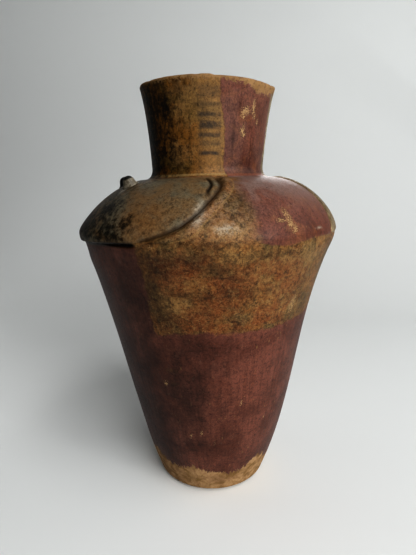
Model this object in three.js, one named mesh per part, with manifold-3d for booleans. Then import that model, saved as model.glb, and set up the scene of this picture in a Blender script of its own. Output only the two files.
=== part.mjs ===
// A coil-built pottery jar with an animal's head modelled on its shoulder.
// Millimetres, +Z up. The origin is the centre of the underside, and the front faces -Y.
// The jar is one fired clay solid: hollow, open at the lip, with walls of even thickness.
import * as THREE from 'three';
import { mergeVertices } from 'three/addons/utils/BufferGeometryUtils.js';
import Module from 'manifold-3d';

// Driving dimensions of the jar's form
const lipHeight = 278.1;
const shoulderHeight = 185; // the widest ring
const shoulderRise = 34.2; // from the widest ring up to the neck's fillet
const keelDrop = 12.9; // from the widest ring down to where the body's side starts to turn in
const lipRadius = 45;
const neckRadius = 38.2;
const shoulderRadius = 87.6;
const keelRadius = 83.9;
const footRadius = 40.7;
const footEdgeHeight = 3.6;
const footEdgeWidth = 7.5;
const neckFilletWidth = 5.8;
const neckFilletHeight = 6.8;
const lipRounding = 1.8;
const wallThickness = 6.5;
const floorThickness = 9;
const floorCornerRadius = 12;

// What the hand left: a leaning foot, a tilted shoulder and an uneven lip
const lean = 3.3; // how far the neck's axis stands off the foot's, towards -X
const leanStartHeight = 40;
const leanEndHeight = 155;
const neckTilt = 1.1; // rise of the tail side over the mean at the neck and the widest ring
const shoulderTilt = 1.8; // further rise halfway over the shoulder
const tiltStartHeight = 150;
const lipDip = 1.5; // the lip is lower at front and back than at its sides
const lipWearDepth = 1.7; // its edge is worn away on the right of the front
const lipWearStart = 1; // azimuths in degrees, from the front towards +X
const lipWearEnd = 88;
const lipWearOnset = 5;
const lipWearRunOut = 26;

// The modelled head: angles are measured from its middle plane, in degrees
const headAzimuth = -75; // of the middle plane, from the front towards +X
const lobeEdgeAngles = [51, 65, 74.5, 82, 80]; // at even steps from the widest ring to the neck
const lobeSwell = 0.8; // the head's lower edge stands out over the mouth
const lobeSwellReach = 8;
const grooveDepth = 1.3;
const grooveWidth = 1.5;
const ridgeHeight = 1.1;
const ridgeWidth = 2;
const ridgeOffset = 4.2;
const mouthHalfAngle = 47.5;
const mouthEndAngle = 3; // the mouth runs out to its corners over this much
const lipEndAngle = 22; // and the forms over and under it over this much
const mouthDrop = 5.4; // of the middle of the mouth under the widest ring
const mouthWidth = 2.4;
const mouthDepth = 1.7;
const mouthCornerRise = 3.2;
const lowerLipRecess = 1.7; // the body is drawn in by this much under the mouth
const lowerLipDrop = 14; // and is back at its plain form this far below it

// The plain raised panel opposite the head, with angles from its own middle plane
const panelEdgeAngles = [44, 41, 37, 38, 40];
const panelHeight = 0.7;
const panelEdgeWidth = 1.4;
const panelGrooveDepth = 0.6;

// The two eyes are small pinched knobs on top of the head
const eyeAngle = 15;
const eyeShare = 0.8; // of the way from the widest ring to the neck
const eyeWidth = 9;
const eyeLength = 8;
const eyeHeight = 6.8;
const eyeRoundness = 5.4; // half the height of the ellipsoid that the knob is cut from

const neckHeight = shoulderHeight + shoulderRise;
const keelHeight = shoulderHeight - keelDrop;
const mouthHeight = shoulderHeight - mouthDrop;
const degree = Math.PI / 180;
const outerClay = new THREE.MeshStandardMaterial({ color: 0x6e3626, roughness: 0.55, metalness: 0 });

const mix = (a, b, share) => a + (b - a) * share;
const limit = (value) => Math.min(Math.max(value, 0), 1);
const ease = (value) => limit(value) ** 2 * (3 - 2 * limit(value));
const bell = (value) => Math.exp(-value * value);

// A smooth curve through values at even steps, for the edges of the head and the panel
function throughValues(values, share) {
  const spline = new THREE.SplineCurve(values.map((value, i) => new THREE.Vector2(i, value)));
  return spline.getPoint(limit(share)).y;
}

// A cubic stretch of the profile; the handles are shares of the way between its ends
function stretch(start, end, startHandle, endHandle) {
  const at = ([radiusShare, heightShare]) =>
    new THREE.Vector2(mix(start.x, end.x, radiusShare), mix(start.y, end.y, heightShare));
  return new THREE.CubicBezierCurve(start, at(startHandle), at(endHandle), end);
}

// The stretches of the profile, moved into the clay by inset: 0 outside, the wall inside
function profile(inset) {
  const foot = new THREE.Vector2(footRadius - inset, footEdgeHeight);
  const keel = new THREE.Vector2(keelRadius - inset, keelHeight);
  const widest = new THREE.Vector2(shoulderRadius - inset, shoulderHeight);
  const neckOuter = new THREE.Vector2(neckRadius + neckFilletWidth, neckHeight - inset);
  const neckCorner = new THREE.Vector2(neckRadius - inset, neckHeight - inset);
  const neckFoot = new THREE.Vector2(neckRadius - inset, neckHeight + neckFilletHeight);
  const lip = new THREE.Vector2(lipRadius - inset, lipHeight - lipRounding);
  return {
    body: stretch(foot, keel, [0.424, 0.267], [0.572, 0.698]),
    keel: stretch(keel, widest, [0.47, 0.34], [1, 0.63]),
    shoulder: stretch(widest, neckOuter, [0, 0.28], [0.49, 0.988]),
    fillet: new THREE.QuadraticBezierCurve(neckOuter, neckCorner, neckFoot),
    neck: stretch(neckFoot, lip, [0.15, 0.27], [0.41, 0.72]),
  };
}

// Angle of the head's edge, and of the panel's, from the head's middle plane
const lobeEdge = (share) => throughValues(lobeEdgeAngles, share);
const panelEdge = (share) => 180 - throughValues(panelEdgeAngles, share);

// Square of the slant between an edge and a vertical line, from how fast its angle changes
function slant(edge, share, radius, curve) {
  const step = 0.02;
  const from = limit(share - step);
  const to = limit(share + step);
  const along = curve.getPoint(from).distanceTo(curve.getPoint(to));
  const across = (edge(to) - edge(from)) * degree * radius;
  return 1 / Math.hypot(1, across / along);
}

// The mouth's middle line climbs from the middle of the head to its two corners
const mouthLine = (turn) => mouthHeight + mouthCornerRise * ease(turn / mouthHalfAngle);

// One ring of the surface. pointAt gives its radius and height on the plain profile at a turn
// from the head's middle plane, share is its place from the widest ring to the neck, and
// relief is how strongly the carved lines show on it.
function makeRing(pointAt, { share = 0, relief = 0, inner = false } = {}) {
  const { x: radius } = pointAt(180);
  const shoulder = profile(0).shoulder;
  return {
    pointAt,
    share,
    relief,
    inner,
    radius,
    lobeEdge: relief > 0 ? lobeEdge(share) : mix(mouthHalfAngle, lobeEdge(1), Number(share >= 1)),
    panelEdge: panelEdge(share),
    lobeSquare: relief > 0 ? slant(lobeEdge, share, radius, shoulder) : 1,
    panelSquare: relief > 0 ? slant(panelEdge, share, radius, shoulder) : 1,
  };
}

const levelRing = (point, options) => makeRing(() => point, options);

// The ring's columns, as turns from the head's middle plane. They gather along the carved
// lines, so that each line keeps its true width, and spread evenly between them.
const lobeColumns = 10;
const flankColumns = 9;
const panelColumns = 6;
const leastSquare = 0.3;
const headLine = [-grooveWidth * 1.5, 0, grooveWidth * 1.4, ridgeOffset, ridgeOffset + ridgeWidth * 1.3];
const panelLine = [-panelEdgeWidth * 1.3, 0, panelEdgeWidth * 1.3];

function halfTurn(ring) {
  const beside = (line, edge, square) =>
    line.map((across) => edge + across / (ring.radius * degree * Math.max(square, leastSquare)));
  const head = beside(headLine, ring.lobeEdge, ring.lobeSquare);
  const panel = beside(panelLine, ring.panelEdge, ring.panelSquare);
  const spread = (from, to, count) => Array.from({ length: count }, (_, i) => mix(from, to, i / count));
  return [
    ...spread(0, head[0], lobeColumns),
    ...head.slice(0, -1),
    ...spread(head.at(-1), panel[0], flankColumns),
    ...panel.slice(0, -1),
    ...spread(panel.at(-1), 180, panelColumns),
  ];
}

function fullTurn(ring) {
  const half = halfTurn(ring);
  const mirrored = half.slice(1).map((turn) => -turn).reverse();
  return [-180, ...mirrored, ...half];
}

// How far the surface stands out of the plain form, by the carved and raised work
function reliefAt(ring, turn, height) {
  const arc = ring.radius * degree;
  const acrossHead = (turn - ring.lobeEdge) * arc * ring.lobeSquare;
  const acrossPanel = (turn - ring.panelEdge) * arc * ring.panelSquare;
  const lines = ridgeHeight * bell((acrossHead - ridgeOffset) / ridgeWidth)
    - grooveDepth * bell(acrossHead / grooveWidth)
    + panelHeight * ease(0.5 + acrossPanel / panelEdgeWidth / 2)
    - panelGrooveDepth * bell(acrossPanel / panelEdgeWidth);

  const overMouth = height - mouthLine(turn);
  const inMouth = ease((mouthHalfAngle - turn) / mouthEndAngle + 0.5);
  const inHead = ease((mouthHalfAngle - turn) / lipEndAngle);
  const above = ease(overMouth / mouthWidth + 0.5);
  const opening = Math.max(1 - ((2 * overMouth) / mouthWidth) ** 2, 0);
  const slit = inMouth * mouthDepth * opening;
  const swell = inHead * lobeSwell * above * bell((height - shoulderHeight) / lobeSwellReach);
  const recess = inHead * lowerLipRecess * (1 - above) * ease(1 + overMouth / lowerLipDrop);
  return lines * ring.relief + swell - Math.max(slit, recess);
}

// The tail side of the shoulder stands higher than the head's
function tiltAt(ring, height) {
  if (ring.share >= 1) {
    return neckTilt * (1 - limit((height - neckHeight) / (lipHeight - neckHeight)));
  }
  if (ring.share > 0) {
    return neckTilt + shoulderTilt * Math.sin(Math.PI * ring.share ** 0.9);
  }
  return neckTilt * limit((height - tiltStartHeight) / (shoulderHeight - tiltStartHeight));
}

// The lip dips at front and back, and is worn down along a stretch on the right of the front
function lipChange(azimuth) {
  const evenness = Math.cos(azimuth * degree) > 0 ? 6 : 2;
  const dip = lipDip * (1 - Math.sin(azimuth * degree) ** evenness);
  const start = ease((azimuth - lipWearStart) / lipWearOnset);
  const end = ease((lipWearEnd - azimuth) / lipWearRunOut);
  const grown = mix(0.25, 1, limit((azimuth - lipWearStart) / (lipWearEnd - lipWearStart) * 1.2));
  return -dip - lipWearDepth * start * grown * end;
}

// A point of the surface, from its ring and its angle from the head's middle plane
function surfacePoint(ring, angle, slope) {
  const azimuth = THREE.MathUtils.euclideanModulo(headAzimuth + angle + 180, 360) - 180;
  const turn = Math.abs(angle);
  const plain = ring.pointAt(turn);
  const lift = ring.inner ? 0 : reliefAt(ring, turn, plain.y);
  const radius = plain.x + lift * slope.x;
  const lipShare = ring.share >= 1 ? limit((plain.y - neckHeight) / (lipHeight - neckHeight)) : 0;
  const height = plain.y + lift * slope.y
    - tiltAt(ring, plain.y) * Math.cos(angle * degree)
    + lipChange(azimuth) * lipShare;
  const shift = -lean * ease((plain.y - leanStartHeight) / (leanEndHeight - leanStartHeight));
  const x = radius * Math.sin(azimuth * degree) + shift;
  return new THREE.Vector3(x, -radius * Math.cos(azimuth * degree), height);
}

// Evenly stepped rings along a stretch of the profile, without the one at its end
function ringsAlong(curve, from, to, count, options) {
  return Array.from({ length: count }, (_, i) => {
    const share = mix(from, to, i / count);
    return levelRing(curve.getPoint(share), options(share));
  });
}

// The underside and its rounded edge, as a quarter of an ellipse
function footRings() {
  const flatRadius = footRadius - footEdgeWidth;
  const edge = Array.from({ length: 4 }, (_, i) => {
    const turn = (i * Math.PI) / 8;
    const radius = flatRadius + footEdgeWidth * Math.sin(turn);
    return levelRing(new THREE.Vector2(radius, footEdgeHeight * (1 - Math.cos(turn))));
  });
  return [levelRing(new THREE.Vector2(flatRadius / 2, 0)), ...edge];
}

// The keel under the widest ring, with five rings that follow the mouth and spread out beyond it
function keelRings() {
  const curve = profile(0).keel;
  const atHeight = (height) => curve.getPoint(limit((height - keelHeight) / (shoulderHeight - keelHeight)));
  const under = ringsAlong(curve, 0, 0.5, 2, () => ({}));
  const mouth = [-1.7, -1, -0.4, 0.4, 1].map((across) => makeRing((turn) => {
    const line = mouthLine(turn) + (across * mouthWidth) / 2;
    const even = mix(keelHeight, shoulderHeight, 0.65 + across * 0.2);
    return atHeight(mix(line, even, ease((turn - mouthHalfAngle) / lipEndAngle)));
  }));
  return [...under, ...mouth];
}

// The lip: two rounded corners with a flat top between them
function lipRings() {
  const corner = (centreRadius, start, inner) => [0, 1, 2].map((i) => {
    const turn = ((start + i) / 4) * Math.PI;
    const radius = centreRadius + lipRounding * Math.cos(turn);
    const height = lipHeight - lipRounding + lipRounding * Math.sin(turn);
    return levelRing(new THREE.Vector2(radius, height), { share: 1, inner });
  });
  return [
    ...corner(lipRadius - lipRounding, 0, false),
    ...corner(lipRadius - wallThickness + lipRounding, 2, true),
  ];
}

// The rounded corner between the inner wall and the floor, and the floor itself
function floorRings(wallRadius) {
  return Array.from({ length: 4 }, (_, i) => {
    const turn = (i * Math.PI) / 6;
    const radius = wallRadius - floorCornerRadius * (1 - Math.cos(turn));
    const height = floorThickness + floorCornerRadius * (1 - Math.sin(turn));
    return levelRing(new THREE.Vector2(radius, height), { inner: true });
  });
}

// Every ring, from the underside up the outside, over the lip and down to the floor inside
function makeRings() {
  const outside = profile(0);
  const inside = profile(wallThickness);
  const neck = () => ({ share: 1 });
  const innerNeck = () => ({ share: 1, inner: true });
  const carved = (share) => ({
    share: Math.max(share, Number.EPSILON),
    relief: ease(share / 0.06 + 0.4) * (1 - ease((share - 0.9) / 0.1)),
  });
  const innerShoulder = (share) => ({ share: Math.max(share, Number.EPSILON), inner: true });
  const cornerTop = floorThickness + floorCornerRadius;
  const innerBody = ringsAlong(inside.body, 1, 0, 12, () => ({ inner: true }))
    .filter((ring, i) => i % 2 === 0 && ring.pointAt(0).y > cornerTop + 2);
  const wallFoot = innerBody.at(-1).pointAt(0);
  return [
    ...footRings(),
    ...ringsAlong(outside.body, 0, 1, 10, () => ({})),
    ...keelRings(),
    ...ringsAlong(outside.shoulder, 0, 0.2, 4, carved),
    ...ringsAlong(outside.shoulder, 0.2, 1, 9, carved),
    ...ringsAlong(outside.fillet, 0, 1, 3, neck),
    ...ringsAlong(outside.neck, 0, 1, 6, neck),
    ...lipRings(),
    ...ringsAlong(inside.neck, 0.75, 0, 2, innerNeck),
    ...ringsAlong(inside.fillet, 1, 0, 3, innerNeck),
    ...ringsAlong(inside.shoulder, 1, 0, 6, innerShoulder),
    levelRing(inside.shoulder.getPoint(0), { inner: true }),
    ...innerBody,
    ...floorRings(wallFoot.x - 2),
  ];
}

// The profile's outward direction at each ring, from the rings on either side of it
function slopeAt(rings, index, turn) {
  const before = rings[Math.max(index - 1, 0)].pointAt(turn);
  const after = rings[Math.min(index + 1, rings.length - 1)].pointAt(turn);
  return new THREE.Vector2(after.y - before.y, before.x - after.x).normalize();
}

// The whole clay body as one closed mesh
function makeVessel() {
  const rings = makeRings();
  const positions = rings.flatMap((ring, index) =>
    fullTurn(ring).flatMap((angle) =>
      surfacePoint(ring, angle, slopeAt(rings, index, Math.abs(angle))).toArray()));
  const columns = fullTurn(rings[0]).length;
  const undersideCentre = rings.length * columns;
  const floorCentre = undersideCentre + 1;
  positions.push(0, 0, rings[0].pointAt(0).y, 0, 0, rings.at(-1).pointAt(0).y);

  const triangles = [];
  const lastRow = (rings.length - 1) * columns;
  for (let column = 0; column < columns; column += 1) {
    const next = (column + 1) % columns;
    triangles.push(undersideCentre, next, column);
    triangles.push(floorCentre, lastRow + column, lastRow + next);
    for (let a = column, b = next; a < lastRow; a += columns, b += columns) {
      triangles.push(a, b, b + columns, a, b + columns, a + columns);
    }
  }
  const geometry = new THREE.BufferGeometry();
  geometry.setAttribute('position', new THREE.Float32BufferAttribute(positions, 3));
  geometry.setIndex(triangles);
  return geometry;
}

// A pinched knob on the head, standing square to the shoulder
function makeEye(side) {
  const geometry = new THREE.SphereGeometry(0.5, 14, 10);
  geometry.rotateX(Math.PI / 2);
  geometry.scale(eyeLength, eyeWidth, 2 * eyeRoundness);
  geometry.translate(0, 0, eyeHeight - eyeRoundness);
  const curve = profile(0).shoulder;
  const seat = levelRing(curve.getPoint(eyeShare), { share: eyeShare });
  const along = curve.getTangent(eyeShare);
  const slope = new THREE.Vector2(along.y, -along.x);
  const angle = side * eyeAngle;
  const foot = surfacePoint(seat, angle, slope);
  geometry.rotateY(Math.atan2(slope.x, slope.y));
  geometry.rotateZ((headAzimuth + angle - 90) * degree);
  geometry.translate(foot.x, foot.y, foot.z);
  return geometry;
}

// Solids for the join, and back to a plain mesh
const wasm = await Module();
wasm.setup();

function toSolid(geometry) {
  const bare = geometry.clone();
  bare.deleteAttribute('normal');
  bare.deleteAttribute('uv');
  const merged = mergeVertices(bare, 1e-4);
  return new wasm.Manifold(new wasm.Mesh({
    numProp: 3,
    vertProperties: new Float32Array(merged.attributes.position.array),
    triVerts: new Uint32Array(merged.index.array),
  }));
}

function toGeometry(solid) {
  const mesh = solid.getMesh();
  const geometry = new THREE.BufferGeometry();
  geometry.setAttribute('position', new THREE.Float32BufferAttribute(mesh.vertProperties, 3));
  geometry.setIndex(Array.from(mesh.triVerts));
  geometry.computeVertexNormals();
  return geometry;
}

const clay = [1, -1].reduce((solid, side) => solid.add(toSolid(makeEye(side))), toSolid(makeVessel()));
const jar = new THREE.Mesh(toGeometry(clay), outerClay);
jar.name = 'jar';

const group = new THREE.Group();
group.add(jar);

export default group;
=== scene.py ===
"""Dresses a hand-built clay jar with an animal's head modelled on its shoulder.

The jar's surface is worked out from the same sizes as the frame's solid, but much finer, and is
painted with burnished red and tan slips, dark resist paint, worn edges and bare clay, with some
highlights, sheen and shade painted in as well. Sizes are in millimetres until a mesh is made.
Azimuths are in degrees from the front (-Y) towards +X, and turns are in degrees from the middle
plane of the head, the same on both of its sides.
"""

import logging
import math
from dataclasses import dataclass, field
from enum import Enum
from typing import Any, Callable, Sequence

import bpy
import numpy as np
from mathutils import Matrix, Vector


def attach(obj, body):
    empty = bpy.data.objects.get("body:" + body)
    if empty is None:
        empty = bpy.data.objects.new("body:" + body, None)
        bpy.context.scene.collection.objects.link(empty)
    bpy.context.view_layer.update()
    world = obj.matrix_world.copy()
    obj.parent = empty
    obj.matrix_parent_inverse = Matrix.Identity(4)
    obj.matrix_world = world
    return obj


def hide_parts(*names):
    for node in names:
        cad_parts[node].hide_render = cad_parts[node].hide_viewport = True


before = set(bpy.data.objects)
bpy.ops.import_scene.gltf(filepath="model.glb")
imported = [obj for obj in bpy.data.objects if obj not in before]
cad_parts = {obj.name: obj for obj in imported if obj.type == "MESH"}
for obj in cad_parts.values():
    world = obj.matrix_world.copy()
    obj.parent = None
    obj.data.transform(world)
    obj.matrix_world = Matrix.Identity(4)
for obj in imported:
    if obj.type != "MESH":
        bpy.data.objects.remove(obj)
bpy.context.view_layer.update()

MM = 0.001
IMAGE_WIDTH = 416
IMAGE_HEIGHT = 555
SENSOR = 36.0
# What most lights aim at, in metres.
JAR_MIDDLE = (0.0, 0.0, 0.12)
# How far a unit of noise moves a painted border, in millimetres.
NOISE_REACH = 4.0
# A distance in millimetres that lies outside every painted area.
NOWHERE = -9.0
Curve = Sequence[tuple[float, float]]
Socket = bpy.types.NodeSocket

log = logging.getLogger("jar")


def ease(value: np.ndarray) -> np.ndarray:
    """Returns 3v^2 - 2v^3 of the value held between 0 and 1: a soft step."""
    held = np.clip(value, 0.0, 1.0)
    return held * held * (3.0 - 2.0 * held)


def bell(value: np.ndarray) -> np.ndarray:
    """Returns exp(-v^2), a bump of height 1 and half width 1."""
    return np.exp(-value * value)


def turned(angle: np.ndarray) -> np.ndarray:
    """Returns the same angle between -180 and 180 degrees."""
    return (angle + 180.0) % 360.0 - 180.0


def border(points: Curve, place: np.ndarray) -> np.ndarray:
    """Returns a border's value at each place, straight between its (place, value) points."""
    known = np.array(points, float)
    return np.interp(place, known[:, 0], known[:, 1])


def bezier(points: Curve, shares: np.ndarray) -> np.ndarray:
    """Works out points on a Bezier curve.

    Each point is the sum of the control points, weighted by the Bernstein polynomials
    C(n, k) (1 - t)^(n - k) t^k.

    Args:
        points: the control points.
        shares: how far along the curve each wanted point lies, from 0 to 1.

    Returns:
        One row (radius, height) per share.
    """
    degree = len(points) - 1
    steps = np.arange(degree + 1)
    weights = np.array([math.comb(degree, int(k)) for k in steps])
    shares = np.asarray(shares, float)[:, None]
    bernstein = weights * (1.0 - shares) ** (degree - steps) * shares**steps
    return bernstein @ np.array(points, float)


def through(values: Sequence[float], share: np.ndarray) -> np.ndarray:
    """Works out a smooth line through values at even steps.

    It is the Catmull-Rom spline whose slope at each value is half the step between its
    neighbours.

    Args:
        values: the values, the first at share 0 and the last at share 1.
        share: where the line is wanted, from 0 to 1.

    Returns:
        The line's value at each share.
    """
    known = np.array([values[0], *values, values[-1]], float)
    place = np.clip(share, 0.0, 1.0) * (len(values) - 1)
    index = np.minimum(place.astype(int), len(values) - 2)
    t = place - index
    before, start, end, after = (known[index + k] for k in range(4))
    slope_in = (end - before) / 2
    slope_out = (after - start) / 2
    return (
        (2 * t**3 - 3 * t**2 + 1) * start
        + (t**3 - 2 * t**2 + t) * slope_in
        + (3 * t**2 - 2 * t**3) * end
        + (t**3 - t**2) * slope_out
    )


def ring_faces(rows: int, columns: int, flip: bool = False) -> tuple[np.ndarray, np.ndarray]:
    """Lists the faces of a closed surface made of rings, with a fan at each pole.

    The first pole's vertex follows the last ring, and the second pole's comes after it.

    Args:
        rows: how many rings.
        columns: how many places around.
        flip: whether the faces are turned the other way.

    Returns:
        The squares, ring by ring, and the triangles of the two fans.
    """
    column = np.arange(columns)
    following = (column + 1) % columns
    first = np.arange(rows - 1)[:, None] * columns
    squares = np.stack([first + column, first + following, first + columns + following,
                        first + columns + column], -1).reshape(-1, 4)
    under = rows * columns
    last = (rows - 1) * columns
    fans = np.concatenate([
        np.stack([np.full(columns, under), following, column], -1),
        np.stack([np.full(columns, under + 1), last + column, last + following], -1),
    ])
    return (squares[:, ::-1], fans[:, ::-1]) if flip else (squares, fans)


def linear(colour: str) -> tuple[float, float, float, float]:
    """Turns a screen colour into linear light.

    Args:
        colour: its six hexadecimal digits.

    Returns:
        Linear red, green and blue, and alpha 1.
    """
    parts = [int(colour[i : i + 2], 16) / 255 for i in (0, 2, 4)]
    light = [p / 12.92 if p <= 0.04045 else ((p + 0.055) / 1.055) ** 2.4 for p in parts]
    return (*light, 1.0)


class Side(Enum):
    """The two skins of the wall, with the material slot that each one takes."""

    OUTSIDE = 0
    INSIDE = 1


class Flank(Enum):
    """The two sides of the head, with the way their angles run from its middle."""

    NEAR = 1
    FAR = -1


class Lit(Enum):
    """What a light shines on, with the name of the collection that it is kept to."""

    ALL = ""
    JAR = "jar_pieces"
    ROOM = "surroundings"


@dataclass
class Rows:
    """The surface's rings, one entry each, from the underside's middle over the lip to the floor.

    share is 0 on the body, 0 to 1 over the shoulder and 1 from the neck's foot to the lip. relief
    is how strongly the carved lines show.
    """

    radius: np.ndarray
    height: np.ndarray
    share: np.ndarray
    relief: np.ndarray
    side: np.ndarray

    @classmethod
    def join(cls, stretches: Sequence["Rows"]) -> "Rows":
        """Puts stretches of rings one after another."""
        names = cls.__dataclass_fields__
        return cls(*(np.concatenate([getattr(s, name) for s in stretches]) for name in names))

    def slopes(self) -> tuple[np.ndarray, np.ndarray]:
        """Works out the profile's outward direction at each ring, square to its neighbours' chord.

        Returns:
            The direction's part outward and its part up.
        """
        across = np.gradient(self.height)
        up = -np.gradient(self.radius)
        length = np.hypot(across, up)
        return across / length, up / length


@dataclass
class Surface:
    """Arrays of one row per ring and one column per place around the jar.

    ink is how deep a vertex lies in the painted shade of a carved line or the mouth's slit,
    from 0 to 1, and beside is how many millimetres it lies outside the head's edge.
    """

    points: np.ndarray
    azimuth: np.ndarray
    turn: np.ndarray
    radius: np.ndarray
    height: np.ndarray
    share: np.ndarray
    ink: np.ndarray
    beside: np.ndarray
    rows: Rows


@dataclass(frozen=True)
class JarForm:
    """The jar's shape: the named sizes of the frame's solid and the surface they give.

    Heights are from the ground, and handles are shares of the way along a stretch's two sides.
    """

    lip_height: float = 278.1
    neck_height: float = 219.2
    shoulder_height: float = 185.0
    keel_height: float = 172.1
    lip_radius: float = 45.0
    neck_radius: float = 38.2
    shoulder_radius: float = 87.6
    keel_radius: float = 83.9
    foot_radius: float = 40.7
    foot_edge_height: float = 3.6
    foot_edge_width: float = 7.5
    fillet_width: float = 5.8
    fillet_height: float = 6.8
    lip_rounding: float = 1.8
    wall: float = 6.5
    floor: float = 9.0
    floor_corner: float = 12.0

    body_handles: Curve = ((0.424, 0.267), (0.572, 0.698))
    keel_handles: Curve = ((0.47, 0.34), (1.0, 0.63))
    shoulder_handles: Curve = ((0.0, 0.28), (0.49, 0.988))
    neck_handles: Curve = ((0.15, 0.27), (0.41, 0.72))

    lean: float = 3.3
    lean_heights: tuple[float, float] = (40.0, 155.0)
    neck_tilt: float = 1.1
    shoulder_tilt: float = 1.8
    tilt_start: float = 150.0
    tilt_bend: float = 0.9
    lip_dip: float = 1.5
    lip_wear: float = 1.7
    lip_wear_azimuths: tuple[float, float] = (1.0, 88.0)
    lip_wear_onset: float = 5.0
    lip_wear_run_out: float = 26.0
    lip_wear_least: float = 0.25
    lip_wear_growth: float = 1.2
    dip_evenness: tuple[float, float] = (6.0, 2.0)

    head_azimuth: float = -75.0
    lobe_edges: tuple[float, ...] = (51.0, 65.0, 74.5, 82.0, 80.0)
    lobe_swell: float = 0.8
    lobe_swell_reach: float = 8.0
    groove_depth: float = 1.3
    groove_width: float = 1.5
    ridge_height: float = 1.1
    ridge_width: float = 2.0
    ridge_offset: float = 4.2
    hook_offset: float = 5.2
    hook_depth: float = 0.8
    hook_width: float = 1.1
    hook_shares: tuple[float, float] = (0.52, 0.68)
    carving_onset: float = 0.06
    carving_at_edge: float = 0.4
    carving_fade: tuple[float, float] = (0.9, 0.1)
    # How dark the painted shade is in the groove and the hook, and how wide it is along the mouth's slit.
    groove_shade: float = 0.64
    hook_shade: float = 0.95
    mouth_shade_width: float = 1.7
    mouth_half_angle: float = 47.5
    mouth_end_angle: float = 3.0
    lip_end_angle: float = 22.0
    mouth_height: float = 179.6
    mouth_width: float = 2.4
    mouth_depth: float = 1.7
    mouth_corner_rise: float = 3.2
    lower_lip_recess: float = 1.7
    lower_lip_drop: float = 14.0

    panel_edges: tuple[float, ...] = (44.0, 41.0, 37.0, 38.0, 40.0)
    panel_height: float = 0.7
    panel_edge_width: float = 1.4
    panel_groove_depth: float = 0.6

    hand_depth: float = 0.3
    hand_seed: int = 7
    hand_waves: int = 26
    hand_waves_around: tuple[int, int] = (2, 12)
    hand_climb: float = 0.12
    nick_depth: float = 0.9
    nick_limit: float = 0.7
    nick_fineness: tuple[float, float] = (3.0, 1.5)
    nick_reach: tuple[float, float] = (3.5, 3.0)

    ring_counts: dict[str, int] = field(default_factory=lambda: {
        "underside": 4, "foot": 7, "body": 54, "keel": 26, "shoulder": 48, "fillet": 7, "neck": 30,
        "lip": 6, "inner neck": 10, "inner fillet": 5, "inner shoulder": 12, "inner body": 26,
        "inner corner": 7, "inner floor": 3,
    })
    wall_samples: int = 60
    corner_gap: float = 3.0
    lobe_columns: int = 52
    flank_columns: int = 62
    panel_columns: int = 42
    seam_step: float = 0.5
    head_seam: tuple[float, float] = (-7.0, 9.0)
    panel_seam: tuple[float, float] = (-3.0, 3.0)
    least_square: float = 0.3

    @staticmethod
    def cubic(start: tuple[float, float], end: tuple[float, float], handles: Curve) -> Curve:
        """Places a curve's two handles at shares (radius, height) of the way between its ends."""
        spread = [
            tuple(a + (b - a) * share for a, b, share in zip(start, end, handle))
            for handle in handles
        ]
        return [start, *spread, end]

    def profile(self, inset: float) -> dict[str, Curve]:
        """Gives the stretches of the profile as control points.

        Args:
            inset: how far the profile is moved into the clay, 0 for the outside.

        Returns:
            The control points by the stretch's name.
        """
        foot = (self.foot_radius - inset, self.foot_edge_height)
        keel = (self.keel_radius - inset, self.keel_height)
        widest = (self.shoulder_radius - inset, self.shoulder_height)
        neck_outer = (self.neck_radius + self.fillet_width, self.neck_height - inset)
        neck_corner = (self.neck_radius - inset, self.neck_height - inset)
        neck_foot = (self.neck_radius - inset, self.neck_height + self.fillet_height)
        lip = (self.lip_radius - inset, self.lip_height - self.lip_rounding)
        return {
            "body": self.cubic(foot, keel, self.body_handles),
            "keel": self.cubic(keel, widest, self.keel_handles),
            "shoulder": self.cubic(widest, neck_outer, self.shoulder_handles),
            "fillet": [neck_outer, neck_corner, neck_foot],
            "neck": self.cubic(neck_foot, lip, self.neck_handles),
        }

    def stretch(
        self, curve: Curve, count: int, share: float | None = 0.0, side: Side = Side.OUTSIDE,
        back: bool = False,
    ) -> Rows:
        """Makes evenly stepped rings along a stretch of the profile, without the last.

        Args:
            curve: the stretch's control points.
            count: how many rings.
            share: the rings' place over the shoulder, or None where they climb it.
            side: which skin of the wall they are on.
            back: whether they run down the stretch instead of up.

        Returns:
            The rings.
        """
        steps = np.arange(count) / count
        if back:
            steps = 1.0 - steps
        points = bezier(curve, steps)
        climb = np.maximum(steps, 1e-6) if share is None else np.full(count, share)
        carved = share is None and side is Side.OUTSIDE
        grown = ease(climb / self.carving_onset + self.carving_at_edge)
        fade_start, fade_length = self.carving_fade
        relief = grown * (1 - ease((climb - fade_start) / fade_length)) * carved
        return Rows(points[:, 0], points[:, 1], climb, relief, np.full(count, side.value))

    def arc(
        self, centre: tuple[float, float], sizes: tuple[float, float], angles: tuple[float, float],
        count: int, share: float = 0.0, side: Side = Side.OUTSIDE,
    ) -> Rows:
        """Makes rings round a corner: centre + sizes * (cos, sin) of evenly stepped angles.

        Args:
            centre: the corner's centre as radius and height.
            sizes: the corner's half width and half height.
            angles: the first and the last angle in degrees.
            count: how many rings.
            share: the rings' place over the shoulder.
            side: which skin of the wall they are on.

        Returns:
            The rings.
        """
        turn = np.radians(np.linspace(*angles, count))
        radius = centre[0] + sizes[0] * np.cos(turn)
        height = centre[1] + sizes[1] * np.sin(turn)
        fixed = np.full(count, share)
        return Rows(radius, height, fixed, np.zeros(count), np.full(count, side.value))

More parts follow.
